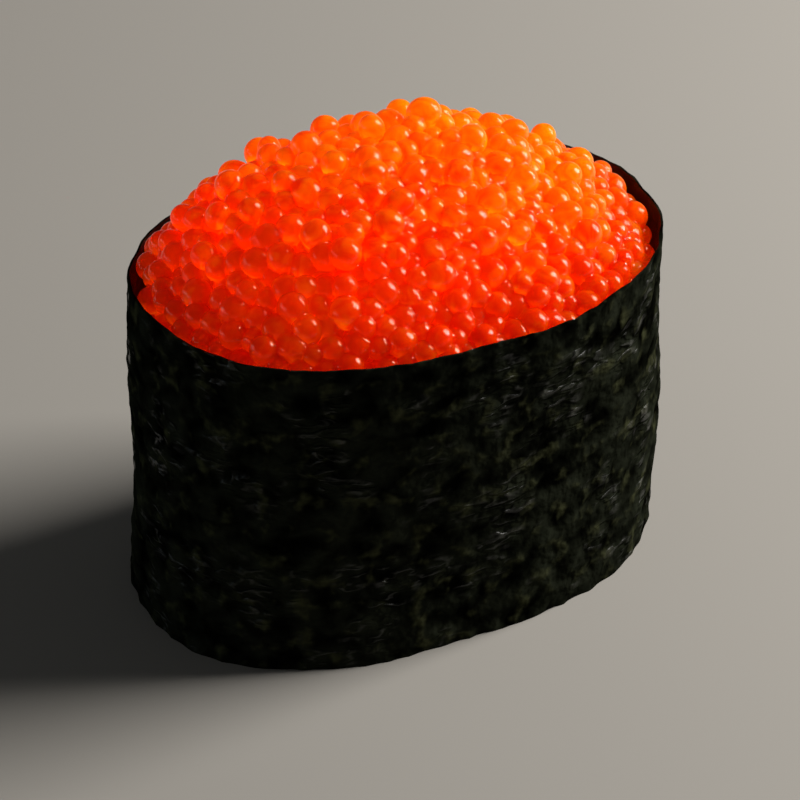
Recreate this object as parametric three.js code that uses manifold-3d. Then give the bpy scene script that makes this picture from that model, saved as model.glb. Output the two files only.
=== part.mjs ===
// Gunkan sushi: a bed of rice in an upright band of nori, filled up and heaped with fish roe.
// Millimetres, +Z up. The origin is the middle of the underside, and +X runs along the length.
import * as THREE from "three";
import { ConvexHull } from "three/addons/math/ConvexHull.js";
import { mergeVertices } from "three/addons/utils/BufferGeometryUtils.js";
import Module from "manifold-3d";

// The band of nori, cut as one strip and wrapped round the rice.
const RIM_LENGTH = 51.9;
const RIM_WIDTH = 35.8;
const BAND_HEIGHT = 33;
const NORI_THICKNESS = 0.35;
const SQUARENESS = 2.3; // the exponent of the oval: 2 is an ellipse, more is squarer
// How a hand-pressed oval departs from a true one, as waves round it:
// waves in a turn, share of the radius, and the direction of a crest in degrees.
const RIM_WAVES = [[2, 0.022, 121], [3, 0.023, 21]];
const BASE_WAVES = [[2, 0.043, 14], [3, 0.024, 45]];
// Soft buckles in the sheet: waves in a turn, height of one wave, depth, and phase in radians.
const BUCKLES = [[5, 31, 0.16, 0.4], [9, -22, 0.1, 2.1]];
const RIM_RIPPLES = [[3, 0.18, 0.9], [8, 0.1, 2.6]]; // waves in a turn, rise, phase
const LAP_START = 52; // degrees; the strip's inner end, on the far side
const LAP_END = 80; // degrees; its outer end, stuck over the inner one
const LAP_RAMP = 7; // degrees over which the strip climbs over its own start
const BAND_COLUMNS = 72;
const BAND_ROWS = 6;

// The rice, which fills the lower part of the band and shows underneath.
const RICE_TOP = 21;
const RICE_SINK = 0.55; // the bed lies this much above its lowest grains
const GRAIN = { length: 6.6, width: 3.1, sunk: 0.35 };
const GRAIN_SPACING = { along: 6.6, across: 3.5 };
const GRAIN_SPREAD = { along: 1.6, across: 1.2 }; // the range of its place
const GRAIN_TURN = 2.2; // the range of its direction, in radians
const GRAIN_SWAY = 0.3; // the range of its tilt, and of its turn where it lies along the nori
const GRAIN_ROOM = 0.25; // least space between a grain and the nori

// The roe, heaped over the rim.
const EGG_RADIUS = 1.45;
const EGG_SIZE_SPREAD = 0.1; // the share by which eggs are larger or smaller
const EGG_COUNT = 236;
const EGG_SPACING = 3.15; // eggs whose middles are nearer than this push one another away
const EGG_UNEVEN = 0.55; // how far an egg sinks below or stands above its neighbours
const EGG_ROUNDS = 300; // of pushing apart
const EGG_PUSH = 0.3; // the share of an overlap by which each of two eggs gives way
const EGG_WALL_DEPTH = 4; // below the rim, where the outermost eggs must still clear the nori
const MOUND_RISE = 11.6;
const MOUND_FULLNESS = 0.78; // the exponent of the mound's profile: less is blunter
const MOUND_LEAN = { x: -1.2, y: 2.6 }; // the mound is fuller on this side
const EDGE_DROP = 1.3; // how far below the rim the outermost eggs lie
const EDGE_TILT = 0.9; // and how much more of that at the +X end than in the middle
const HOLLOW = 0.25; // how far the gaps between eggs reach below their middles
const RING_SHARES = [0.42, 0.76]; // of the way from an egg's top to its widest part
const WALL_POINTS = 52;

const FILL_COLUMNS = 32; // round the bed of rice
const GAP = 0.3; // between pieces that touch
const SEED = 71;

const wasm = await Module();
wasm.setup();

const radians = THREE.MathUtils.degToRad;
const UP = new THREE.Vector3(0, 0, 1);

// ---- Shared shapes ----

// A repeatable stream of numbers from 0 to 1.
function randomStream(seed) {
  let state = seed >>> 0;
  return () => {
    state = (Math.imul(state, 1664525) + 1013904223) >>> 0;
    return state / 2 ** 32;
  };
}

function waveSum(angle, waves) {
  const term = ([count, share, crest]) => share * Math.cos(count * (angle - radians(crest)));
  return waves.reduce((sum, wave) => sum + term(wave), 1);
}

function ovalRadius(angle) {
  const x = Math.abs(Math.cos(angle)) / (RIM_LENGTH / 2);
  const y = Math.abs(Math.sin(angle)) / (RIM_WIDTH / 2);
  return (x ** SQUARENESS + y ** SQUARENESS) ** (-1 / SQUARENESS);
}

// The outside of the band before the lap is added: from the base outline to the rim outline.
function bandRadius(angle, z) {
  const up = THREE.MathUtils.clamp(z / BAND_HEIGHT, 0, 1);
  const shape = THREE.MathUtils.lerp(waveSum(angle, BASE_WAVES), waveSum(angle, RIM_WAVES), up);
  const buckle = BUCKLES.reduce(
    (sum, [count, height, depth, phase]) =>
      sum + depth * Math.sin(count * angle + (2 * Math.PI * z) / height + phase),
    0,
  );
  return ovalRadius(angle) * shape + buckle;
}

function polarPoint(angle, radius, z) {
  return new THREE.Vector3(radius * Math.cos(angle), radius * Math.sin(angle), z);
}

function solidOf(geometry) {
  const bare = geometry.clone();
  bare.deleteAttribute("normal");
  bare.deleteAttribute("uv");
  const merged = mergeVertices(bare, 1e-4);
  return new wasm.Manifold(
    new wasm.Mesh({
      numProp: 3,
      vertProperties: new Float32Array(merged.attributes.position.array),
      triVerts: new Uint32Array(merged.index.array),
    }),
  );
}

function geometryOf(solid) {
  const mesh = solid.getMesh();
  const geometry = new THREE.BufferGeometry();
  geometry.setAttribute("position", new THREE.BufferAttribute(mesh.vertProperties, mesh.numProp));
  geometry.setIndex(new THREE.BufferAttribute(mesh.triVerts, 1));
  return geometry;
}

// The largest body of a fused solid. Hollows sealed by fusing are filled and scraps dropped.
function mainBody(solid) {
  return solid.decompose().reduce((a, b) => (b.volume() > a.volume() ? b : a));
}

// A closed skin through rings of points, with a fan at both ends.
function ringSkin(rings, lowTip, highTip) {
  const count = rings[0].length;
  const points = [...rings.flat(), lowTip, highTip];
  const low = points.length - 2;
  const high = points.length - 1;
  const index = [];
  for (let column = 0; column < count; column++) {
    const next = (column + 1) % count;
    index.push(low, next, column);
    for (let row = 0; row + 1 < rings.length; row++) {
      const [a, b] = [row * count + column, row * count + next];
      index.push(a, b, b + count, a, b + count, a + count);
    }
    const top = (rings.length - 1) * count;
    index.push(high, top + column, top + next);
  }
  return new THREE.BufferGeometry().setFromPoints(points).setIndex(index);
}

function ring(count, pointAt) {
  return Array.from({ length: count }, (_, i) => pointAt((2 * Math.PI * i) / count));
}

// ---- Nori ----

// Evenly spaced angles, with a close pair at each end of the strip for its cut edge.
function bandAngles() {
  const step = 360 / BAND_COLUMNS;
  const edge = 0.35;
  const cuts = [LAP_START, LAP_END];
  const even = Array.from({ length: BAND_COLUMNS }, (_, i) => i * step);
  const clear = even.filter((angle) => cuts.every((cut) => Math.abs(angle - cut) > step / 3));
  const edges = cuts.flatMap((cut) => [cut - edge, cut + edge]);
  return [...clear, ...edges].sort((a, b) => a - b);
}

// The distances by which the sheet's inner and outer faces stand off a single layer's.
function lapOffsets(degrees) {
  const ramp = THREE.MathUtils.smoothstep(degrees, LAP_START - LAP_RAMP, LAP_START);
  const doubled = degrees < LAP_END ? ramp : 0;
  return {
    inner: degrees < LAP_START ? ramp * NORI_THICKNESS : 0,
    outer: doubled * NORI_THICKNESS,
  };
}

function rimHeight(angle) {
  const ripple = ([count, rise, phase]) => rise * Math.sin(count * angle + phase);
  return BAND_HEIGHT + RIM_RIPPLES.reduce((sum, wave) => sum + ripple(wave), 0);
}

function innerFace(angle, z) {
  return bandRadius(angle, z) - NORI_THICKNESS;
}

// One strip, wrapped all the way round and stuck over its own start.
// Its section is carried up the outer face and down the inner one at each angle.
function noriBand() {
  const angles = bandAngles();
  const points = [];
  for (const degrees of angles) {
    const angle = radians(degrees);
    const lap = lapOffsets(degrees);
    for (let row = 0; row <= BAND_ROWS; row++) {
      const z = (rimHeight(angle) * row) / BAND_ROWS;
      points.push(polarPoint(angle, bandRadius(angle, z) + lap.outer, z));
    }
    for (let row = BAND_ROWS; row >= 0; row--) {
      const z = (rimHeight(angle) * row) / BAND_ROWS;
      points.push(polarPoint(angle, innerFace(angle, z) + lap.inner, z));
    }
  }
  const loop = 2 * (BAND_ROWS + 1);
  const index = [];
  for (let column = 0; column < angles.length; column++) {
    const next = (column + 1) % angles.length;
    for (let i = 0; i < loop; i++) {
      const j = (i + 1) % loop;
      const [a, b] = [column * loop + i, column * loop + j];
      const [c, d] = [next * loop + i, next * loop + j];
      index.push(a, c, d, a, d, b);
    }
  }
  return new THREE.BufferGeometry().setFromPoints(points).setIndex(index);
}

// ---- Filling ----

// The radius that a filling may reach, clear of the nori.
function fillRadius(angle, z) {
  return innerFace(angle, z) - GAP;
}

// The whole space that a filling may take up, carried straight up above the rim.
function fillSpace(low, high, rows) {
  const rings = Array.from({ length: rows + 1 }, (_, row) => {
    const z = THREE.MathUtils.lerp(low, high, row / rows);
    return ring(FILL_COLUMNS, (angle) => polarPoint(angle, fillRadius(angle, z), z));
  });
  return ringSkin(rings, new THREE.Vector3(0, 0, low), new THREE.Vector3(0, 0, high));
}

// A cooked grain, round at both ends.
function riceGrain(x, y, turn, tilt) {
  const grain = new THREE.SphereGeometry(0.5, 5, 4);
  grain.rotateX(Math.PI / 2);
  grain.rotateY(Math.PI / 2);
  grain.scale(GRAIN.length, GRAIN.width, GRAIN.width);
  grain.rotateY(tilt);
  grain.rotateZ(turn);
  grain.translate(x, y, GRAIN.width / 2 - GRAIN.sunk);
  return solidOf(grain);
}

// Grains lie in loose rows, one of them over the origin. Those by the nori lie along it.
function grainsUnderneath() {
  const random = randomStream(SEED);
  const spread = (amount) => (random() - 0.5) * amount;
  const columns = Math.ceil(RIM_LENGTH / 2 / GRAIN_SPACING.along);
  const rows = Math.ceil(RIM_WIDTH / 2 / GRAIN_SPACING.across);
  const grains = [riceGrain(0, 0, 0.3, 0)];
  for (let row = -rows; row <= rows; row++) {
    for (let column = -columns; column <= columns; column++) {
      const stagger = row % 2 ? 0.5 : 0;
      const x = (column + stagger) * GRAIN_SPACING.along + spread(GRAIN_SPREAD.along);
      const y = row * GRAIN_SPACING.across + spread(GRAIN_SPREAD.across);
      const angle = Math.atan2(y, x);
      const room = fillRadius(angle, 0) - Math.hypot(x, y);
      const byWall = room < GRAIN.length / 2;
      const turn = byWall ? angle + Math.PI / 2 + spread(GRAIN_SWAY) : spread(GRAIN_TURN);
      const tilt = spread(GRAIN_SWAY);
      const isMiddle = row === 0 && column === 0;
      if (isMiddle || room < GRAIN.width / 2 + GRAIN_ROOM) continue;
      grains.push(riceGrain(x, y, turn, tilt));
    }
  }
  return grains;
}

// The bed is pressed flat on the board, so nothing of it reaches below z = 0.
function riceBed() {
  const bed = solidOf(fillSpace(RICE_SINK, RICE_TOP, 2));
  const board = new THREE.BoxGeometry(2 * RIM_LENGTH, 2 * RIM_WIDTH, 10).translate(0, 0, -5);
  const grains = wasm.Manifold.union(grainsUnderneath()).subtract(solidOf(board));
  return geometryOf(mainBody(bed.add(grains)));
}

// ---- Roe ----

// The height at which an egg's middle lies in the mound, at a place in plan.
// The lean is a slope, so that the mound is higher by that share towards one side.
function moundHeight(x, y) {
  const out = Math.min(1, Math.hypot(x, y) / eggReach(Math.atan2(y, x), EGG_RADIUS));
  const lean =
    1 + (8 * MOUND_LEAN.x * x) / RIM_LENGTH ** 2 + (8 * MOUND_LEAN.y * y) / RIM_WIDTH ** 2;
  const edge = BAND_HEIGHT - EDGE_DROP - EDGE_TILT * (x / (RIM_LENGTH / 2)) * out;
  return edge + MOUND_RISE * (1 - out * out) ** MOUND_FULLNESS * lean;
}

function moundNormal(x, y) {
  const step = 1;
  const alongX = moundHeight(x + step, y) - moundHeight(x - step, y);
  const alongY = moundHeight(x, y + step) - moundHeight(x, y - step);
  return new THREE.Vector3(-alongX, -alongY, 2 * step).normalize();
}

// How far out an egg's middle may lie.
function eggReach(angle, radius) {
  const atRim = fillRadius(angle, BAND_HEIGHT);
  const below = fillRadius(angle, BAND_HEIGHT - EGG_WALL_DEPTH);
  return Math.min(atRim, below) - radius;
}

function keepInside(egg) {
  const { x, y } = egg.middle;
  const share = Math.min(1, eggReach(Math.atan2(y, x), egg.radius) / Math.hypot(x, y));
  egg.middle.x *= share;
  egg.middle.y *= share;
}

function settle(egg) {
  keepInside(egg);
  egg.middle.z = moundHeight(egg.middle.x, egg.middle.y);
}

// Eggs start anywhere on the mound and push one another apart until they lie evenly.
function eggsOnMound() {
  const random = randomStream(SEED + 1);
  const eggs = Array.from({ length: EGG_COUNT }, () => {
    const angle = 2 * Math.PI * random();
    const out = Math.sqrt(random()) * fillRadius(angle, BAND_HEIGHT);
    const radius = EGG_RADIUS * (1 + (2 * random() - 1) * EGG_SIZE_SPREAD);
    return { middle: polarPoint(angle, out, 0), radius };
  });
  eggs.forEach(settle);
  for (let round = 0; round < EGG_ROUNDS; round++) {
    for (const [i, egg] of eggs.entries()) {
      for (const other of eggs.slice(0, i)) {
        const away = egg.middle.clone().sub(other.middle);
        const near = away.length();
        if (near >= EGG_SPACING) continue;
        away.multiplyScalar((EGG_PUSH * (EGG_SPACING - near)) / near);
        egg.middle.add(away);
        other.middle.sub(away);
      }
    }
    eggs.forEach(settle);
  }
  for (const egg of eggs) {
    egg.normal = moundNormal(egg.middle.x, egg.middle.y);
    egg.middle.addScaledVector(egg.normal, (random() - 0.5) * 2 * EGG_UNEVEN);
    keepInside(egg);
  }
  return eggs;
}

// Points along the wall, below the outer eggs, where the heap meets the nori.
function wallPoints() {
  return Array.from({ length: WALL_POINTS }, (_, i) => {
    const angle = (2 * Math.PI * i) / WALL_POINTS;
    const z = moundHeight(RIM_LENGTH * Math.cos(angle), RIM_WIDTH * Math.sin(angle)) - EGG_RADIUS;
    return { middle: polarPoint(angle, fillRadius(angle, z), z), radius: 0, normal: UP };
  });
}

// A place on the mound, laid out flat: as far from the centre as it is over the mound.
function laidFlat({ x, y }) {
  const steps = 24;
  let length = 0;
  for (let i = 0; i < steps; i++) {
    const [from, to] = [i / steps, (i + 1) / steps];
    const climb = moundHeight(x * to, y * to) - moundHeight(x * from, y * from);
    length += Math.hypot(Math.hypot(x, y) / steps, climb);
  }
  return polarPoint(Math.atan2(y, x), length, length * length);
}

// The triangles that join each egg to its neighbours over the mound.
// They are the underside of the hull of the same places laid flat and lifted on to a bowl.
function neighbourTriangles(sites) {
  const lifted = sites.map((site) => laidFlat(site.middle));
  const place = new Map(lifted.map((point, i) => [point, i]));
  const faces = new ConvexHull().setFromPoints(lifted).faces.filter((face) => face.normal.z < 0);
  return faces.map(({ edge }) =>
    [edge.prev, edge, edge.next].map((side) => place.get(side.head().point)).reverse(),
  );
}

// A skin over all the eggs. Round each egg it runs from the top through two rings of points
// to the saddles between two eggs and the hollows between three.
function roeHeap() {
  const sites = [...eggsOnMound(), ...wallPoints()];
  const points = [];
  const places = new Map();
  const point = (name, make) => {
    if (!places.has(name)) {
      places.set(name, points.length);
      points.push(make());
    }
    return places.get(name);
  };
  const middleOf = (group) => {
    const sum = group.reduce((total, i) => total.add(sites[i].middle), new THREE.Vector3());
    return sum.divideScalar(group.length);
  };
  // Where the skin runs between a group of eggs: on their surfaces where they overlap,
  // and otherwise a little below their middles.
  const between = (group) => {
    const middle = middleOf(group);
    const normal = group.reduce((sum, i) => sum.add(sites[i].normal), new THREE.Vector3());
    const eggs = group.map((i) => sites[i]).filter((site) => site.radius > 0);
    const lifts = eggs.map((egg) => egg.radius ** 2 - egg.middle.distanceToSquared(middle));
    const lift = eggs.length ? Math.sqrt(Math.max(0, ...lifts)) : 0;
    return middle.addScaledVector(normal.normalize(), lift || -HOLLOW * (group.length - 1));
  };
  const ringPoint = (i, j, share) => {
    const [egg, other] = [sites[i], sites[j]];
    const way = other.middle.clone().sub(egg.middle);
    const reach = way.length() / (other.radius > 0 ? 2 : 1);
    const widest = Math.asin(Math.min(1, reach / egg.radius));
    way.addScaledVector(egg.normal, -way.dot(egg.normal)).normalize();
    const turn = share * widest;
    const across = egg.radius * Math.sin(turn);
    const up = egg.radius * Math.cos(turn);
    return egg.middle.clone().addScaledVector(way, across).addScaledVector(egg.normal, up);
  };
  const top = (i) =>
    point(`top ${i}`, () => sites[i].middle.clone().addScaledVector(sites[i].normal, sites[i].radius));
  const onRing = (i, j, share) => point(`ring ${i} ${j} ${share}`, () => ringPoint(i, j, share));
  const saddle = (i, j) => {
    const pair = [i, j].sort((a, b) => a - b);
    return point(`saddle ${pair}`, () => between(pair));
  };
  const triangles = neighbourTriangles(sites);
  const index = [];
  for (const trio of triangles) {
    const hollow = point(`hollow ${trio}`, () => between(trio));
    for (const [k, i] of trio.entries()) {
      const [j, l] = [trio[(k + 1) % 3], trio[(k + 2) % 3]];
      const loop = [saddle(i, j), hollow, saddle(i, l)];
      if (sites[i].radius === 0) {
        index.push(top(i), loop[0], loop[1], top(i), loop[1], loop[2]);
        continue;
      }
      const [inner, outer] = RING_SHARES.map((share) => [onRing(i, j, share), onRing(i, l, share)]);
      index.push(top(i), inner[0], inner[1]);
      index.push(inner[0], outer[0], outer[1], inner[0], outer[1], inner[1]);
      index.push(outer[0], loop[0], loop[1], outer[0], loop[1], outer[1]);
      index.push(outer[1], loop[1], loop[2]);
    }
  }
  closeBelow(points, index);
  return new THREE.BufferGeometry().setFromPoints(points).setIndex(index);
}

// Carries the open edge of a skin down the wall to a flat floor.
function closeBelow(points, index) {
  const sides = new Map();
  for (let i = 0; i < index.length; i++) {
    const end = i % 3 === 2 ? i - 2 : i + 1;
    sides.set(`${index[i]} ${index[end]}`, [index[i], index[end]]);
  }
  const open = [...sides.values()].filter(([a, b]) => !sides.has(`${b} ${a}`));
  const floor = RICE_TOP + GAP;
  const centre = points.push(new THREE.Vector3(0, 0, floor)) - 1;
  const below = new Map();
  for (const [a] of open) {
    const angle = Math.atan2(points[a].y, points[a].x);
    below.set(a, points.push(polarPoint(angle, fillRadius(angle, floor), floor)) - 1);
  }
  for (const [a, b] of open) {
    index.push(b, a, below.get(a), b, below.get(a), below.get(b));
    index.push(below.get(b), below.get(a), centre);
  }
}

// ---- The whole ----

function piece(name, geometry, color, roughness) {
  const material = new THREE.MeshStandardMaterial({ color, roughness, metalness: 0 });
  const mesh = new THREE.Mesh(geometry, material);
  mesh.name = name;
  return mesh;
}

const wrapped = new THREE.Group();
wrapped.add(
  piece("nori_band", noriBand(), "#161a14", 0.5),
  piece("rice_bed", riceBed(), "#ece6d6", 0.6),
  piece("roe_heap", roeHeap(), "#f0440a", 0.15),
);

// The hand-pressed outline is lopsided, so it is moved to stand over the middle of its own box.
const middle = new THREE.Box3().setFromObject(wrapped).getCenter(new THREE.Vector3());
wrapped.position.set(-middle.x, -middle.y, 0);

const gunkan = new THREE.Group();
gunkan.add(wrapped);

export default gunkan;
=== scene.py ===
"""Gunkan sushi: an upright band of nori round pressed rice, heaped with trout roe."""

import math

import bmesh
import bpy
import numpy as np
from bpy.props import FloatProperty, FloatVectorProperty, IntProperty, PointerProperty
from mathutils import Euler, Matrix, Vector, noise
from mathutils.kdtree import KDTree


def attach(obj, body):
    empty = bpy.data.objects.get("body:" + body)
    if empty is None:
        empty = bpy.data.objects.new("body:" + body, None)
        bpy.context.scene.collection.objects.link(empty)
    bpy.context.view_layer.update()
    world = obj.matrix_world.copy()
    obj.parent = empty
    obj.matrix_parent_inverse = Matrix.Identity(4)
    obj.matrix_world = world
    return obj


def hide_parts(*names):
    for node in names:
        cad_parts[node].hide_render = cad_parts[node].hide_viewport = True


bl_info = {
    "name": "Gunkan Sushi",
    "version": (1, 0, 0),
    "blender": (4, 5, 0),
    "location": "3D View > Sidebar > Sushi",
    "description": "Dresses a gunkan: nori, rice, roe and a plain stage",
    "category": "Object",
}

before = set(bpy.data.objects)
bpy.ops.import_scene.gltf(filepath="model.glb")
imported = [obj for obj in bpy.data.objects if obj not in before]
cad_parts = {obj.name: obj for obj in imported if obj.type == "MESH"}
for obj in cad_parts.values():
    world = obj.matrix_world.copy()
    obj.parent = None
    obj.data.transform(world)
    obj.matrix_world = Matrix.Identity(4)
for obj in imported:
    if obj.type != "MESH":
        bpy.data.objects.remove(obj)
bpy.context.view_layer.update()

MM = 0.001
SEED = 20

# The band of nori, in millimetres and degrees, as its solid has it.
RIM_LENGTH = 51.9
RIM_WIDTH = 35.8
BAND_HEIGHT = 33
SOLID_THICKNESS = 0.35
SQUARENESS = 2.3  # 2 would be an ellipse, and more is squarer
# How the outlines depart from the even oval: number of waves, share of the radius, angle of a crest from +X.
RIM_WAVES = ((2, 0.022, 121), (3, 0.023, 21))
BASE_WAVES = ((2, 0.043, 14), (3, 0.024, 45))
# Slanting waves in the sheet: number round it, height over which they shift by one wave, depth, phase.
BUCKLES = ((5, 31, 0.16, 0.4), (9, -22, 0.1, 2.1))
# Waves along the upper edge: number, rise, phase.
RIM_RIPPLES = ((3, 0.18, 0.9), (8, 0.1, 2.6))
LAP_START = 52
LAP_END = 80
LAP_RAMP = 7  # the strip climbs over its own start within this angle
OVAL_CENTRE = (0.24, 0.16)  # in the frame, where the oval's own middle is not quite the origin

# The sheet that the scene makes of it.
SHEET_COLUMNS = 440
SHEET_ROWS = 110
LAP_GAP = 0.05  # between the two layers of the lap
FRAY_HEIGHT = 0.04
FINE_FRAY = 2.3  # columns from one fine notch to the next, about
BROAD_FRAY = 9
SHARP_EDGE = 50  # faces that meet at more than this many degrees are shaded as an edge

# What the band holds, in millimetres.
FILL_GAP = 0.3  # between the band and what is in it
FILL_COLUMNS = 96
RICE_TOP = 21

# The mound of roe, in millimetres. Its height is that of the middles of the eggs in its top layer.
MOUND_RISE = 11.6
MOUND_FULLNESS = 0.78  # less is fuller
MOUND_LEAN = (-1.2, 2.6)  # about where its top lies
EDGE_DROP = 1.3  # from the rim down to the outermost eggs
EDGE_TILT = 0.9  # they lie lower still at the +X end, and higher at the other
EGG_WALL_DEPTH = 4  # below the rim, where the outermost eggs must still clear the nori

# How the eggs settle, in millimetres.
START_DEPTH = 4.6  # an egg starts no deeper than this
LAYER_DEPTH = 5.2  # and is never pushed deeper than this
EGG_STAND = (-1.2, 0.4)  # the furthest that an egg may stand out of the mound, drawn between these
PROUD_SHARE = 0.1  # this share of the eggs may stand out further
PROUD_STAND = (0.6, 1.3)
SETTLE_ROUNDS = 160
CLOSENESS = 0.76  # two middles keep this share of the two radii between them
EGG_PUSH = 0.3  # the share of an overlap by which an egg gives way in a round
EGG_LIFT = 0.03  # how far an egg rises in a round
OWN_DISTANCE = 99  # so that an egg doesn't push itself
OFF_ROUND = (0.92, 1.08)  # each of an egg's three widths is scaled by a number between these
TONE_SPREAD = 0.15  # how far an egg's tone may be from the middle tone
FINE_BALL = 3  # subdivisions of an icosphere
COARSE_BALL = 2

# The roe below them.
BOWL_DEPTH = 2.6  # below the middles of the top layer
BOWL_WALL = (24, 27)  # heights
BOWL_RINGS = 10
BOWL_TUCK = 0.4  # it reaches this much further out than the middles of the eggs

# The grains of rice. Lengths are in millimetres and turns in radians.
GRAIN_ROWS = range(-8, 9)
GRAIN_COLUMNS = range(-6, 7)
GRAIN_SPACING = 0.92  # the share of a grain from one to the next
GRAIN_BLUNTNESS = 0.85  # 1 would be an egg shape
STRAY_X = 0.8
STRAY_Y = 0.6
GRAIN_SINK = 0.3  # what is pressed flat of a grain
GRAIN_TURN = 1.2
GRAIN_TILT = 0.12
GRAIN_SIZES = (0.9, 1.05)
SIDE_ROOM = 0.1  # a grain with less room than this between its side and the nori is left out
END_ROOM = 0.2  # one with less than this beyond its end lies along the nori
PLATE_GAP = 0.02
BED_RINGS = ((0.9, 0.3), (1.3, 0), (RICE_TOP - 0.5, 0), (RICE_TOP, 0.3))  # height, distance drawn in

# The camera, in millimetres and degrees.
CAMERA_AZIMUTH = -29.2
CAMERA_ELEVATION = 34
CAMERA_DISTANCE = 396
CAMERA_AIM = (11.87, 21.27, 0)
LENS = 172.5

# The lights and the floor, in metres and degrees. Seen from the camera, the window is to the right of the
# sushi and a little behind it.
LIGHT_AIM = (0, 0, 0.025)
KEY_AZIMUTH = 78
KEY_ELEVATION = 30
KEY_DISTANCE = 0.5
KEY_SIZE = (0.23, 0.35)
KEY_COLOUR = (1, 0.97, 0.93)
FILL_AZIMUTH = -110
FILL_ELEVATION = 3
FILL_DISTANCE = 0.6
FILL_SIZE = (0.8, 0.1)
FILL_COLOUR = (0.8, 0.93, 1)
SKY_COLOUR = (1, 1, 1, 1)
SKY_STRENGTH = 0.035
FLOOR_REACH = 3
# The direction of the light that is painted into the roe's colour and glow: further behind than the window,
# and higher.
GLOW_AZIMUTH = 130
GLOW_ELEVATION = 35


def linear(hex_colour):
    """An sRGB hex colour as the linear colour that Blender's sockets take."""
    values = [int(hex_colour[i : i + 2], 16) / 255 for i in (1, 3, 5)]
    return tuple(v / 12.92 if v <= 0.04045 else ((v + 0.055) / 1.055) ** 2.4 for v in values) + (1,)


def from_angles(azimuth, elevation):
    """The direction towards a place at this azimuth, counted from the front, and elevation."""
    turn, rise = math.radians(azimuth), math.radians(elevation)
    return Vector((math.sin(turn) * math.cos(rise), -math.cos(turn) * math.cos(rise), math.sin(rise)))


# ---- Sizes and colours ----


class NoriSettings(bpy.types.PropertyGroup):
    thickness: FloatProperty(
        name="Thickness", description="Thickness of the sheet of nori",
        default=0.22 * MM, min=0.1 * MM, max=0.35 * MM, precision=5, unit="LENGTH",
    )
    crumple: FloatProperty(
        name="Crumple", description="How far the sheet's wrinkles stand out",
        default=0.2 * MM, min=0, max=0.4 * MM, precision=5, unit="LENGTH",
    )
    dark: FloatVectorProperty(
        name="Dark", description="Colour of the thick, dark parts of the nori",
        default=linear("#030302"), size=4, subtype="COLOR",
    )
    green: FloatVectorProperty(
        name="Green", description="Colour of the thin parts of the nori",
        default=linear("#23261D"), size=4, subtype="COLOR",
    )
    # Olive is partly the nori's own colour and partly a painted sheen on the tops of its lumps.
    olive: FloatVectorProperty(
        name="Olive", description="Colour of the tops of the nori's lumps",
        default=linear("#383A27"), size=4, subtype="COLOR",
    )
    inside: FloatVectorProperty(
        name="Inside", description="Colour of the nori's rough inner face",
        default=linear("#27240F"), size=4, subtype="COLOR",
    )


class RoeSettings(bpy.types.PropertyGroup):
    diameter: FloatProperty(
        name="Egg diameter", description="Middle diameter of an egg",
        default=2.75 * MM, min=2 * MM, max=4 * MM, precision=5, unit="LENGTH",
    )
    spread: FloatProperty(
        name="Spread", description="Share by which eggs are larger or smaller",
        default=0.15, min=0, max=0.3, subtype="FACTOR",
    )
    count: IntProperty(
        name="Eggs", description="Number of eggs that are made", default=900, min=100, max=900,
    )
    # Deep and Bright are painted light and shade: eggs are painted redder far from the window and more yellow
    # near it.
    deep: FloatVectorProperty(
        name="Deep", description="Colour of the eggs far from the window",
        default=linear("#F43400"), size=4, subtype="COLOR",
    )
    bright: FloatVectorProperty(
        name="Bright", description="Colour of the eggs near the window",
        default=linear("#FF8C04"), size=4, subtype="COLOR",
    )
    # Glow is painted light: its colour is emitted, so the roe glows though it is no lamp.
    painted_glow: FloatVectorProperty(
        name="Glow", description="Colour of an egg where light comes through it",
        default=linear("#FF9C0C"), size=4, subtype="COLOR",
    )


class RiceSettings(bpy.types.PropertyGroup):
    length: FloatProperty(
        name="Grain length", description="Length of a cooked grain",
        default=6.6 * MM, min=4 * MM, max=9 * MM, precision=5, unit="LENGTH",
    )
    width: FloatProperty(
        name="Grain width", description="Width of a cooked grain",
        default=3.1 * MM, min=2 * MM, max=4 * MM, precision=5, unit="LENGTH",
    )
    colour: FloatVectorProperty(
        name="Colour", description="Colour of the cooked rice",
        default=linear("#EFE8D6"), size=4, subtype="COLOR",
    )


class StageSettings(bpy.types.PropertyGroup):
    floor: FloatVectorProperty(
        name="Floor", description="Colour of the floor", default=linear("#B6B2AB"), size=4, subtype="COLOR",
    )
    key: FloatProperty(
        name="Key light", description="Power of the window light", default=3.8, min=0, subtype="POWER",
    )
    fill: FloatProperty(
        name="Fill light", description="Power of the soft light", default=0.4, min=0, subtype="POWER",
    )


class GunkanSettings(bpy.types.PropertyGroup):
    nori: PointerProperty(type=NoriSettings)
    roe: PointerProperty(type=RoeSettings)
    rice: PointerProperty(type=RiceSettings)
    stage: PointerProperty(type=StageSettings)


# ---- Shared shapes ----


def wave_sum(angle, waves):
    """What the waves make of a radius of 1."""
    return 1 + sum(share * np.cos(count * (angle - math.radians(crest))) for count, share, crest in waves)


def oval_radius(angle):
    """The even oval: an ellipse with fuller corners."""
    x = np.abs(np.cos(angle)) / (RIM_LENGTH / 2)
    y = np.abs(np.sin(angle)) / (RIM_WIDTH / 2)
    return (x**SQUARENESS + y**SQUARENESS) ** (-1 / SQUARENESS)


def band_radius(angle, z):
    """The outside of a single layer of the band, from the base outline to the rim outline."""
    up = np.clip(z / BAND_HEIGHT, 0, 1)
    shape = (1 - up) * wave_sum(angle, BASE_WAVES) + up * wave_sum(angle, RIM_WAVES)
    buckle = sum(
        depth * np.sin(count * angle + 2 * math.pi * z / height + phase)
        for count, height, depth, phase in BUCKLES
    )
    return oval_radius(angle) * shape + buckle


def fill_radius(angle, z):
    """How far out what the band holds may reach."""
    return band_radius(angle, z) - SOLID_THICKNESS - FILL_GAP


def rim_height(angle):
    """The height of the band's upper edge."""
    return BAND_HEIGHT + sum(rise * np.sin(count * angle + phase) for count, rise, phase in RIM_RIPPLES)


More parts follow.
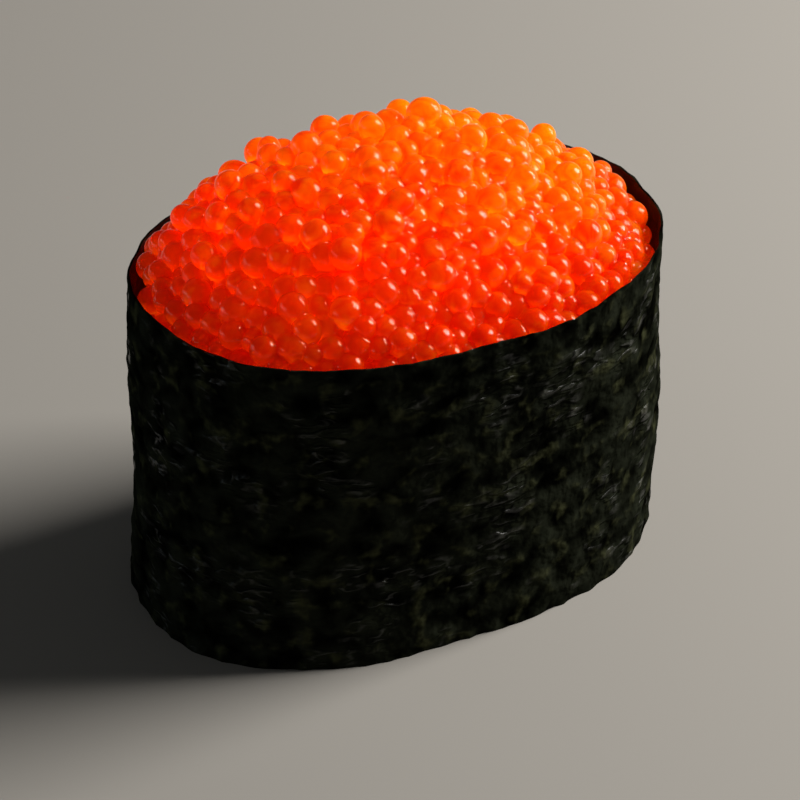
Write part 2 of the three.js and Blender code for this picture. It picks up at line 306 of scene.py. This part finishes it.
def egg_reach(angle, radius):
    """How far out an egg's middle may lie near the rim."""
    near_rim = fill_radius(angle, np.full_like(angle, BAND_HEIGHT))
    lower = fill_radius(angle, np.full_like(angle, BAND_HEIGHT - EGG_WALL_DEPTH))
    return np.minimum(near_rim, lower) - radius


def mound_height(x, y, radius):
    """The height at which the middle of an egg in the top layer lies.

    The lean is the slope that moves the top of an even mound by MOUND_LEAN.
    """
    angle = np.arctan2(y, x)
    out = np.minimum(1, np.hypot(x, y) / egg_reach(angle, radius))
    lean = 1 + 8 * MOUND_LEAN[0] * x / RIM_LENGTH**2 + 8 * MOUND_LEAN[1] * y / RIM_WIDTH**2
    edge = BAND_HEIGHT - EDGE_DROP - EDGE_TILT * (x / (RIM_LENGTH / 2)) * out
    return edge + MOUND_RISE * (1 - out * out) ** MOUND_FULLNESS * lean


def mesh_piece(name, points, faces, materials, node):
    """A smooth mesh from points in millimetres round the oval's own middle, set in the frame."""
    offset = np.array((*OVAL_CENTRE, 0))
    mesh = bpy.data.meshes.new(name)
    mesh.from_pydata(((points + offset) * MM).tolist(), [], faces)
    mesh.shade_smooth()
    for material in materials:
        mesh.materials.append(material)
    piece = bpy.data.objects.new(name, mesh)
    bpy.context.scene.collection.objects.link(piece)
    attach(piece, "root")
    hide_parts(node)
    return piece


def placed(points, scale, turn, place):
    """The points scaled, then turned, then moved."""
    spin = np.array(Euler(turn).to_matrix())
    return (points * scale) @ spin.T + place


def scattered(base_points, base_faces, places, turns, scales):
    """Copies of one small closed mesh as one set of points and faces."""
    points, faces = [], []
    for place, turn, scale in zip(places, turns, scales):
        start = len(points) * len(base_points)
        points.append(placed(base_points, scale, turn, place))
        faces.extend(tuple(i + start for i in face) for face in base_faces)
    return np.concatenate(points), faces


def ball(subdivisions):
    """The points and faces of a round ball of radius 1."""
    work = bmesh.new()
    bmesh.ops.create_icosphere(work, subdivisions=subdivisions, radius=1)
    work.verts.ensure_lookup_table()
    points = np.array([v.co for v in work.verts])
    faces = [tuple(v.index for v in face.verts) for face in work.faces]
    work.free()
    return points, faces


def fill_ring(z, inset=0):
    """Points round the middle at one height, as far out as what the band holds may reach."""
    angle = np.linspace(0, 2 * math.pi, FILL_COLUMNS, endpoint=False)
    height = np.full(FILL_COLUMNS, float(z))
    reach = fill_radius(angle, height) - inset
    return np.stack((reach * np.cos(angle), reach * np.sin(angle), height), axis=1)


def ring_skin(rings, low, high):
    """The points and faces of a closed skin through rings of points, with a fan at both ends."""
    count = len(rings[0])
    points = np.concatenate([*rings, [low], [high]])
    end = count * len(rings)
    faces = []
    for column in range(count):
        after = (column + 1) % count
        faces.append((end, after, column))
        faces.append((end + 1, end - count + column, end - count + after))
        for row in range(len(rings) - 1):
            a, b = row * count + column, row * count + after
            faces.append((a, b, b + count, a + count))
    return points, faces


# ---- Materials ----


def add_node(tree, kind, settings=None, **inputs):
    """Adds a node. Settings are its properties; inputs are values, or sockets to link, by socket name."""
    node = tree.nodes.new(kind)
    for name, value in (settings or {}).items():
        setattr(node, name, value)
    for name, value in inputs.items():
        key = int(name[1:]) if name[0] == "i" and name[1:].isdigit() else name.replace("_", " ")
        if isinstance(value, bpy.types.NodeSocket):
            tree.links.new(value, node.inputs[key])
        else:
            node.inputs[key].default_value = value
    return node


def new_material(name):
    material = bpy.data.materials.new(name)
    material.use_nodes = True
    material.node_tree.nodes.clear()
    return material, material.node_tree


def finish_material(tree, shader):
    add_node(tree, "ShaderNodeOutputMaterial", Surface=shader.outputs[0])


def attribute(tree, name, output):
    """What the mesh keeps under this name."""
    return add_node(tree, "ShaderNodeAttribute", {"attribute_name": name}).outputs[output]


def blotches(tree, place, apart, **inputs):
    """Noise whose blotches lie about this many millimetres apart."""
    return add_node(tree, "ShaderNodeTexNoise", Vector=place, Scale=1 / (apart * MM), **inputs).outputs["Fac"]


def maths(tree, operation, *values, **options):
    """One step of arithmetic on numbers or sockets."""
    inputs = {f"i{index}": value for index, value in enumerate(values)}
    return add_node(tree, "ShaderNodeMath", {"operation": operation, **options}, **inputs).outputs[0]


def dot(tree, first, second):
    """How far the first vector points along the second."""
    node = add_node(tree, "ShaderNodeVectorMath", {"operation": "DOT_PRODUCT"}, i0=first, i1=second)
    return node.outputs["Value"]


def ramp(tree, value, start, end, low=0, high=1, kind="LINEAR"):
    """Low up to where the value is at the start, high from the end on, and between the two in between."""
    return add_node(
        tree, "ShaderNodeMapRange", {"interpolation_type": kind},
        Value=value, From_Min=start, From_Max=end, To_Min=low, To_Max=high,
    ).outputs[0]


def mixed(tree, share, first, second):
    """A colour between two, nearer the second where the share is larger."""
    return add_node(tree, "ShaderNodeMix", {"data_type": "RGBA"}, i0=share, i6=first, i7=second).outputs[2]


def relief_of(tree, height, depth, strength=1):
    """The surface's direction, bent by a height that runs over this many millimetres."""
    return add_node(tree, "ShaderNodeBump", Strength=strength, Distance=depth * MM, Height=height).outputs[0]


def toasted_nori(settings):
    """Toasted laver, dried in a thin felt: nearly black, dull green where it is thin, with a satin skin."""
    material, tree = new_material("toasted_nori")
    strip = attribute(tree, "strip", "Vector")
    creases = attribute(tree, "relief", "Fac")
    # The felt is thinner in patches and lets a little green show there; it is also a little greener on top of
    # its creases.
    patches = blotches(tree, strip, apart=3, Detail=2, Distortion=0.3)
    thin_and_crease_tops = maths(tree, "MULTIPLY_ADD", creases, 0.15, patches)
    thin = ramp(tree, thin_and_crease_tops, 0.25, 0.85, kind="SMOOTHSTEP")
    felt = mixed(tree, thin, settings.dark, settings.green)
    # Small lumps all over, of single fronds that lie folded: their tops are painted more olive than the rest,
    # partly as the fronds' own colour and partly as painted sheen.
    lumps = blotches(tree, strip, apart=2.2, Detail=2.5)
    olive_and_painted_sheen = ramp(tree, lumps, 0.52, 0.78, kind="SMOOTHSTEP")
    colour = mixed(tree, olive_and_painted_sheen, felt, settings.olive)
    # Flat wrinkles under a millimetre apart lie along the strip in clusters.
    lying = add_node(tree, "ShaderNodeMapping", Vector=strip, Scale=(0.4, 1, 1), Rotation=(0, 0, 0.12))
    wrinkles = blotches(tree, lying.outputs[0], apart=0.8, Detail=1, Distortion=0.8)
    clusters = blotches(tree, strip, apart=6, Detail=2)
    clustered = ramp(tree, clusters, 0.5, 0.64, kind="SMOOTHSTEP")
    level = maths(tree, "SUBTRACT", wrinkles, 0.5)
    wrinkled = maths(tree, "MULTIPLY", level, clustered)
    height = maths(tree, "MULTIPLY_ADD", lumps, 1.2, wrinkled)
    surface = relief_of(tree, height, depth=0.9)
    # The toasted skin shines only along the tops of those wrinkles.
    ridges = ramp(tree, wrinkles, 0.52, 0.7, kind="SMOOTHSTEP")
    shine = maths(tree, "MULTIPLY", ridges, clustered)
    shader = add_node(
        tree, "ShaderNodeBsdfPrincipled", Base_Color=colour, Roughness=0.7, Normal=surface,
        Specular_IOR_Level=0, Coat_Weight=shine, Coat_Roughness=0.38, Coat_IOR=1.36, Coat_Normal=surface,
    )
    finish_material(tree, shader)
    return material


def nori_inner_face(settings):
    """The rough side of the sheet, turned inwards: matt and brownish, with a little light coming through."""
    material, tree = new_material("nori_inner_face")
    strip = attribute(tree, "strip", "Vector")
    patches = blotches(tree, strip, apart=2, Detail=5, Roughness=0.6)
    colour = mixed(tree, patches, settings.dark, settings.inside)
    surface = relief_of(tree, patches, depth=0.15, strength=0.5)
    shader = add_node(
        tree, "ShaderNodeBsdfPrincipled", Base_Color=colour, Roughness=0.65, Normal=surface,
        Subsurface_Weight=0.1, Subsurface_Radius=(1, 0.85, 0.4), Subsurface_Scale=0.4 * MM,
    )
    finish_material(tree, shader)
    return material


def trout_roe(settings):
    """Cured trout roe: a tight wet skin round clear orange oil, so light runs through each egg; much of that
    light is painted, as a glow and a colour that change with the place in the heap.
    """
    material, tree = new_material("trout_roe")
    source = from_angles(GLOW_AZIMUTH, GLOW_ELEVATION)
    geometry = add_node(tree, "ShaderNodeNewGeometry")
    position = geometry.outputs["Position"]
    # Painted light: the eggs are painted more yellow towards the back of the heap, as if lit through from
    # behind, and redder far from there.
    along = dot(tree, position, source)
    behind = ramp(tree, along, 14 * MM, 40 * MM)
    # Painted shade: the eggs up to 5 mm above the rim get less of that painted light, as if the nori shaded
    # them.
    place = add_node(tree, "ShaderNodeSeparateXYZ", Vector=position)
    painted_rim_shade = ramp(
        tree, place.outputs["Z"], BAND_HEIGHT * MM, (BAND_HEIGHT + 5) * MM, low=0.3, kind="SMOOTHSTEP",
    )
    near = maths(tree, "MULTIPLY", behind, painted_rim_shade)
    tone = attribute(tree, "tone", "Fac")
    # The painted light comes out in uneven patches, as light bent by many eggs on its way would.
    bent = blotches(tree, position, apart=2.5, Detail=2, Distortion=1.5)
    shift = ramp(tree, bent, 0.3, 0.7, low=-0.25, high=0.25)
    uneven = maths(tree, "ADD", shift, tone)
    # Painted shade: the heap's near side gets less of that painted light and glow, and there all eggs are
    # about equally red.
    through = ramp(tree, along, 1 * MM, 22 * MM, low=0.19, high=0.45)
    varied = maths(tree, "MULTIPLY", uneven, through)
    lit = maths(tree, "MULTIPLY_ADD", varied, 2, near, use_clamp=True)
    # The base colour carries the painted light and shade: it goes from Deep to Bright as more light is
    # painted.
    skin = mixed(tree, lit, settings.deep, settings.bright)
    # Painted glow: each egg is painted glowing on its side away from the light, where real light would
    # gather.
    towards = dot(tree, geometry.outputs["Normal"], source)
    focus = ramp(tree, towards, -0.5, -0.92, kind="SMOOTHSTEP")
    clear = ramp(tree, tone, -TONE_SPREAD, TONE_SPREAD, low=0.4)
    painted_far_glow = maths(tree, "MULTIPLY", focus, clear)
    yellow = maths(tree, "MULTIPLY", painted_far_glow, lit)
    painted_glow = mixed(tree, yellow, skin, settings.painted_glow)
    patchy = ramp(tree, bent, 0.3, 0.7, low=0.85, high=1.18)
    painted_glow_patches = maths(tree, "MULTIPLY", through, patchy)
    # Painted light: the glow is painted stronger on the side of an egg away from the window than on the side
    # turned to it, which evens out the lamps' shading.
    turned = ramp(tree, towards, -0.8, 0.6, low=1.2, high=0.5)
    painted_glow_evened = maths(tree, "MULTIPLY", painted_glow_patches, turned)
    painted_body_glow = maths(tree, "MULTIPLY", painted_glow_evened, painted_rim_shade)
    painted_far_glow_strength = maths(tree, "MULTIPLY", painted_far_glow, through)
    strength = maths(tree, "MULTIPLY_ADD", painted_far_glow_strength, 1.2, painted_body_glow)
    # The skins are tight but not quite even, so what they mirror is broken up.
    dimples = blotches(tree, position, apart=0.9, Detail=1.5)
    surface = relief_of(tree, dimples, depth=0.09)
    # The emission is painted light: the roe glows with the painted glow colour and strength above, though it
    # is no lamp.
    shader = add_node(
        tree, "ShaderNodeBsdfPrincipled", Base_Color=skin, Roughness=0.03, IOR=1.38, Normal=surface,
        Specular_IOR_Level=0.48, Specular_Tint=(1, 0.64, 0.48, 1), Transmission_Weight=0.25,
        Subsurface_Weight=1, Subsurface_Radius=(1, 0.5, 0.1), Subsurface_Scale=4.5 * MM,
        Emission_Color=painted_glow, Emission_Strength=strength,
    )
    finish_material(tree, shader)
    return material


def sushi_rice(settings):
    """Cooked short grain rice dressed with vinegar: milky, faintly translucent, moist."""
    material, tree = new_material("sushi_rice")
    place = add_node(tree, "ShaderNodeTexCoord").outputs["Object"]
    uneven = blotches(tree, place, apart=1.5, Detail=3)
    surface = relief_of(tree, uneven, depth=0.1, strength=0.2)
    shader = add_node(
        tree, "ShaderNodeBsdfPrincipled", Base_Color=settings.colour, Roughness=0.35, Normal=surface,
        Subsurface_Weight=0.3, Subsurface_Radius=(1, 0.8, 0.6), Subsurface_Scale=0.8 * MM,
    )
    finish_material(tree, shader)
    return material


def matt_board(colour):
    """A plain painted board for the floor: matt, with no pattern of its own."""
    material, tree = new_material("matt_board")
    shader = add_node(tree, "ShaderNodeBsdfPrincipled", Base_Color=colour, Roughness=0.8)
    finish_material(tree, shader)
    return material


# ---- Nori ----


def crumple_at(x, y, z):
    """How far the sheet stands out at a place, from about -1 to 1: dents, creases on them, and ripples.

    The dents are about 7 mm apart, the creases 3 mm and the ripples 1.8 mm. The whole numbers that are
    added keep the four patterns from lining up.
    """
    dent = noise.noise((x / 7, y / 7, z / 6))
    bend = 0.5 * noise.noise((x / 5 + 9, y / 5, z / 5))
    crease = 1 - 4 * abs(noise.noise((x / 3 + bend + 20, y / 3, z / 2.4 + bend)))
    ripple = noise.noise((x / 1.8 + 40, y / 1.8, z / 1.1))
    return 0.7 * dent + 0.5 * crease + 0.5 * ripple


def frayed_top(angle):
    """The strip's upper edge: the rim, a little frayed."""
    frays = [
        noise.noise((column / FINE_FRAY, 0, 0)) + noise.noise((column / BROAD_FRAY, 5, 0))
        for column in range(SHEET_COLUMNS)
    ]
    return rim_height(angle) + FRAY_HEIGHT * np.array(frays)[:, None]


def sheet_faces():
    """The faces of a sheet with an outer and an inner side, and the number of faces on each side."""
    columns, rows = SHEET_COLUMNS, SHEET_ROWS
    inner_start = columns * rows
    faces = []
    for column in range(columns - 1):
        for row in range(rows - 1):
            a = column * rows + row
            b = a + rows
            faces.append((a, b, b + 1, a + 1))
    side_count = len(faces)
    faces += [tuple(inner_start + i for i in reversed(face)) for face in faces]
    border = [column * rows for column in range(columns)]
    border += [(columns - 1) * rows + row for row in range(1, rows)]
    border += [column * rows + rows - 1 for column in range(columns - 2, -1, -1)]
    border += list(range(rows - 2, 0, -1))
    for a, b in zip(border, border[1:] + border[:1]):
        faces.append((b, a, inner_start + a, inner_start + b))
    return faces, side_count


def nori_sheet(settings):
    """One strip wrapped round once and stuck over its own start, on the far side."""
    thickness = settings.thickness / MM
    degrees = np.linspace(LAP_START, 360 + LAP_END, SHEET_COLUMNS)
    angle = np.radians(degrees)[:, None]
    climb = np.clip((degrees - (360 + LAP_START - LAP_RAMP)) / LAP_RAMP, 0, 1)
    layer = (climb * climb * (3 - 2 * climb) * (thickness + LAP_GAP))[:, None]
    z = frayed_top(angle) * np.linspace(0, 1, SHEET_ROWS)[None, :]
    smooth = band_radius(angle, z) - (SOLID_THICKNESS - thickness) / 2 + layer
    x, y = smooth * np.cos(angle), smooth * np.sin(angle)
    bumps = np.array([crumple_at(*place) for place in zip(x.ravel(), y.ravel(), z.ravel())]).reshape(x.shape)
    outer = smooth + bumps * settings.crumple / MM
    points = []
    for radius in (outer, outer - thickness):
        face = np.stack((radius * np.cos(angle), radius * np.sin(angle), z), axis=-1)
        points.append(face.reshape(-1, 3))
    faces, side_count = sheet_faces()
    piece = mesh_piece(
        "nori_sheet", np.concatenate(points), faces,
        [toasted_nori(settings), nori_inner_face(settings)], "nori_band",
    )
    for polygon in piece.data.polygons[side_count : 2 * side_count]:
        polygon.material_index = 1
    # Where each point lies on the flat strip, for the materials.
    steps = np.hypot(np.diff(x[:, 0]), np.diff(y[:, 0]))
    along = np.concatenate([[0], np.cumsum(steps)])
    strip = np.zeros((SHEET_COLUMNS, SHEET_ROWS, 3))
    strip[..., 0] = along[:, None] * MM
    strip[..., 1] = z * MM
    places = piece.data.attributes.new("strip", "FLOAT_VECTOR", "POINT")
    places.data.foreach_set("vector", np.concatenate((strip, strip)).ravel())
    relief = piece.data.attributes.new("relief", "FLOAT", "POINT")
    relief.data.foreach_set("value", np.concatenate((bumps, bumps)).ravel())
    piece.data.set_sharp_from_angle(angle=math.radians(SHARP_EDGE))
    return piece


# ---- Roe ----


def settled_eggs(settings, random):
    """Eggs pushed apart until they lie close, in a layer a few eggs deep under the mound's surface."""
    count = settings.count
    radius = settings.diameter / MM / 2 * (1 + settings.spread * random.uniform(-1, 1, count))
    angle = random.uniform(0, 2 * math.pi, count)
    out = np.sqrt(random.uniform(0, 1, count)) * egg_reach(angle, radius)
    x, y = out * np.cos(angle), out * np.sin(angle)
    depth = random.uniform(0, START_DEPTH, count)
    stand = random.uniform(*EGG_STAND, count)
    proud = random.uniform(0, 1, count) < PROUD_SHARE
    stand[proud] = random.uniform(*PROUD_STAND, proud.sum())
    z = mound_height(x, y, radius) - depth
    for _ in range(SETTLE_ROUNDS):
        place = np.stack((x, y, z), axis=1)
        away = place[:, None] - place[None]
        near = np.linalg.norm(away, axis=2) + np.eye(count) * OWN_DISTANCE
        wanted = CLOSENESS * (radius[:, None] + radius[None])
        push = np.clip(wanted - near, 0, None) / near
        x, y, z = (place + EGG_PUSH * (away * push[..., None]).sum(axis=1)).T
        angle = np.arctan2(y, x)
        share = np.minimum(1, egg_reach(angle, radius) / np.hypot(x, y))
        x, y = x * share, y * share
        top = mound_height(x, y, radius) + stand
        z = np.clip(z + EGG_LIFT, top - LAYER_DEPTH, top)
    return np.stack((x, y, z), axis=1), radius, top - z


def roe_bowl(radius):
    """The roe under the eggs that show, from the rice up to below the mound."""
    angle = np.linspace(0, 2 * math.pi, FILL_COLUMNS, endpoint=False)
    floor = RICE_TOP + FILL_GAP
    rings = [fill_ring(z) for z in (floor, *BOWL_WALL)]
    for turn in np.linspace(0, math.pi / 2, BOWL_RINGS, endpoint=False):
        reach = math.cos(turn) * (egg_reach(angle, np.full(FILL_COLUMNS, radius)) + BOWL_TUCK)
        x, y = reach * np.cos(angle), reach * np.sin(angle)
        rings.append(np.stack((x, y, mound_height(x, y, radius) - BOWL_DEPTH), axis=1))
    top = mound_height(np.zeros(1), np.zeros(1), radius)[0] - BOWL_DEPTH
    return ring_skin(rings, (0, 0, floor), (0, 0, top))


def united(solids):
    """The union of closed meshes, each of them given by its points and faces."""
    things = []
    for points, faces in solids:
        mesh = bpy.data.meshes.new("loose")
        mesh.from_pydata(points, [], faces)
        things.append(bpy.data.objects.new("loose", mesh))
    first, *others = things
    bpy.context.scene.collection.objects.link(first)
    group = bpy.data.collections.new("loose")
    for thing in others:
        group.objects.link(thing)
    union = first.modifiers.new("union", "BOOLEAN")
    union.solver = "MANIFOLD"
    union.operation = "UNION"
    union.operand_type = "COLLECTION"
    union.collection = group
    whole = bpy.data.meshes.new_from_object(first.evaluated_get(bpy.context.evaluated_depsgraph_get()))
    points = np.array([v.co for v in whole.vertices])
    faces = [tuple(face.vertices) for face in whole.polygons]
    bpy.data.meshes.remove(whole)
    for thing in things:
        bpy.data.meshes.remove(thing.data)
    bpy.data.collections.remove(group)
    # A union that failed leaves far fewer points than this.
    if len(points) < 8 * len(solids):
        raise RuntimeError("The eggs could not be joined to one another")
    return points, faces


def roe_mass(settings):
    """All the roe: eggs, each a little off round, that stick together and to the roe below them."""
    random = np.random.default_rng(SEED)
    places, radius, depth = settled_eggs(settings, random)
    turns = random.uniform(0, 2 * math.pi, (len(places), 3))
    scales = radius[:, None] * random.uniform(*OFF_ROUND, (len(places), 3))
    tones = random.uniform(-TONE_SPREAD, TONE_SPREAD, len(places))
    # The eggs near the surface are fine; those below only show in the gaps between them.
    fine, coarse = ball(FINE_BALL), ball(COARSE_BALL)
    middle_depth = np.median(depth)
    solids = [roe_bowl(settings.diameter / MM / 2)]
    for egg in range(len(places)):
        points, faces = fine if depth[egg] < middle_depth else coarse
        solids.append((placed(points, scales[egg], turns[egg], places[egg]), faces))
    points, faces = united(solids)
    piece = mesh_piece("roe_eggs", points, faces, [trout_roe(settings)], "roe_heap")
    nearest = KDTree(len(places))
    for egg, place in enumerate(places):
        nearest.insert(place, egg)
    nearest.balance()
    tone = piece.data.attributes.new("tone", "FLOAT", "POINT")
    tone.data.foreach_set("value", [tones[nearest.find(point)[1]] for point in points])
    return piece


# ---- Rice ----


def rice_grains(settings, random):
    """Rows of grains that lie this way and that, and along the nori beside it."""
    length, width = settings.length / MM, settings.width / MM
    points, faces = ball(FINE_BALL)
    blunt = np.sign(points[:, 0]) * np.abs(points[:, 0]) ** GRAIN_BLUNTNESS
    points = np.stack((blunt, points[:, 1], points[:, 2]), axis=1)
    places, turns = [], []
    for row in GRAIN_ROWS:
        for column in GRAIN_COLUMNS:
            x = (column + 0.5 * (row % 2)) * length * GRAIN_SPACING + random.uniform(-STRAY_X, STRAY_X)
            y = row * width * GRAIN_SPACING + random.uniform(-STRAY_Y, STRAY_Y)
            angle = math.atan2(y, x)
            room = fill_radius(np.array([angle]), np.zeros(1))[0] - math.hypot(x, y)
            along_wall = room < length / 2 + END_ROOM
            turn = angle + math.pi / 2 if along_wall else random.uniform(-GRAIN_TURN, GRAIN_TURN)
            if room < width / 2 + SIDE_ROOM:
                continue
            places.append((x, y, width / 2 - GRAIN_SINK))
            turns.append((0, random.uniform(-GRAIN_TILT, GRAIN_TILT), turn))
    scales = [np.array((length, width, width)) / 2 * random.uniform(*GRAIN_SIZES) for _ in places]
    grains, grain_faces = scattered(points, faces, np.array(places), turns, scales)
    # They lie flat on the plate and against the nori.
    grains[:, 2] = np.maximum(grains[:, 2], PLATE_GAP)
    outwards = np.hypot(grains[:, 0], grains[:, 1])
    wall = fill_radius(np.arctan2(grains[:, 1], grains[:, 0]), grains[:, 2])
    grains[:, :2] *= np.minimum(1, wall / outwards)[:, None]
    return grains, grain_faces


def rice_underside(settings):
    """The bed of rice: grains pressed level with the lower edge of the nori, and the bed behind them."""
    grains, grain_faces = rice_grains(settings, np.random.default_rng(SEED + 1))
    rings = [fill_ring(z, inset) for z, inset in BED_RINGS]
    bed, bed_faces = ring_skin(rings, (0, 0, BED_RINGS[0][0]), (0, 0, BED_RINGS[-1][0]))
    faces = grain_faces + [tuple(i + len(grains) for i in face) for face in bed_faces]
    points = np.concatenate((grains, bed))
    return mesh_piece("rice", points, faces, [sushi_rice(settings)], "rice_bed")


# ---- Stage ----


def look_at(thing, target):
    """Turns a camera or light, which looks down its own -Z, to the target."""
    thing.rotation_euler = (Vector(target) - thing.location).to_track_quat("-Z", "Y").to_euler()


def add_camera():
    """The camera, at the angle from which the sushi is shown."""
    data = bpy.data.cameras.new("camera")
    data.lens = LENS
    camera = bpy.data.objects.new("camera", data)
    bpy.context.scene.collection.objects.link(camera)
    aim = Vector(CAMERA_AIM) * MM
    camera.location = aim + from_angles(CAMERA_AZIMUTH, CAMERA_ELEVATION) * CAMERA_DISTANCE * MM
    look_at(camera, aim)
    bpy.context.scene.camera = camera


def add_window(name, azimuth, elevation, distance, size, power, colour):
    """A rectangular light that faces the middle of the sushi."""
    data = bpy.data.lights.new(name, "AREA")
    data.shape = "RECTANGLE"
    data.size, data.size_y = size
    data.energy = power
    data.color = colour
    light = bpy.data.objects.new(name, data)
    bpy.context.scene.collection.objects.link(light)
    light.location = Vector(LIGHT_AIM) + from_angles(azimuth, elevation) * distance
    look_at(light, LIGHT_AIM)


def add_floor(colour):
    """A wide plain floor for the sushi to stand on."""
    mesh = bpy.data.meshes.new("floor")
    corners = [(x * FLOOR_REACH, y * FLOOR_REACH, 0) for x, y in ((-1, -1), (1, -1), (1, 1), (-1, 1))]
    mesh.from_pydata(corners, [], [(0, 1, 2, 3)])
    mesh.materials.append(matt_board(colour))
    floor = bpy.data.objects.new("floor", mesh)
    bpy.context.scene.collection.objects.link(floor)


def add_world(colour, strength):
    """The room's weak even light."""
    world = bpy.data.worlds.new("studio")
    bpy.context.scene.world = world
    world.use_nodes = True
    background = world.node_tree.nodes["Background"]
    background.inputs["Color"].default_value = colour
    background.inputs["Strength"].default_value = strength


# ---- Operators and panel ----


class GUNKAN_OT_nori(bpy.types.Operator):
    """Wrap the band of nori"""

    bl_idname = "gunkan.nori"
    bl_label = "Nori"

    def execute(self, context):
        nori_sheet(context.scene.gunkan.nori)
        return {"FINISHED"}


class GUNKAN_OT_rice(bpy.types.Operator):
    """Press the bed of rice"""

    bl_idname = "gunkan.rice"
    bl_label = "Rice"

    def execute(self, context):
        rice_underside(context.scene.gunkan.rice)
        return {"FINISHED"}


class GUNKAN_OT_roe(bpy.types.Operator):
    """Heap the roe: the eggs that show, and the roe below them"""

    bl_idname = "gunkan.roe"
    bl_label = "Roe"

    def execute(self, context):
        roe_mass(context.scene.gunkan.roe)
        return {"FINISHED"}


class GUNKAN_OT_stage(bpy.types.Operator):
    """Set the floor, the lights and the camera"""

    bl_idname = "gunkan.stage"
    bl_label = "Stage"

    def execute(self, context):
        settings = context.scene.gunkan.stage
        add_floor(settings.floor)
        add_camera()
        add_window("window", KEY_AZIMUTH, KEY_ELEVATION, KEY_DISTANCE, KEY_SIZE, settings.key, KEY_COLOUR)
        add_window(
            "soft_box", FILL_AZIMUTH, FILL_ELEVATION, FILL_DISTANCE, FILL_SIZE, settings.fill, FILL_COLOUR,
        )
        add_world(SKY_COLOUR, SKY_STRENGTH)
        context.scene.view_settings.view_transform = "Standard"
        return {"FINISHED"}


class GUNKAN_PT_panel(bpy.types.Panel):
    """The sizes and colours of the sushi, and a button for each piece"""

    bl_idname = "GUNKAN_PT_panel"
    bl_label = "Gunkan Sushi"
    bl_space_type = "VIEW_3D"
    bl_region_type = "UI"
    bl_category = "Sushi"

    def draw(self, context):
        settings = context.scene.gunkan
        for name in ("nori", "rice", "roe", "stage"):
            box = self.layout.box()
            group = getattr(settings, name)
            for field in group.__annotations__:
                box.prop(group, field)
            box.operator(f"gunkan.{name}")


CLASSES = (
    NoriSettings, RoeSettings, RiceSettings, StageSettings, GunkanSettings,
    GUNKAN_OT_nori, GUNKAN_OT_rice, GUNKAN_OT_roe, GUNKAN_OT_stage, GUNKAN_PT_panel,
)


def register():
    for cls in CLASSES:
        bpy.utils.register_class(cls)
    bpy.types.Scene.gunkan = PointerProperty(type=GunkanSettings)


def unregister():
    del bpy.types.Scene.gunkan
    for cls in reversed(CLASSES):
        bpy.utils.unregister_class(cls)


def main():
    register()
    bpy.ops.gunkan.nori()
    bpy.ops.gunkan.rice()
    bpy.ops.gunkan.roe()
    bpy.ops.gunkan.stage()


if __name__ == "__main__":
    main()
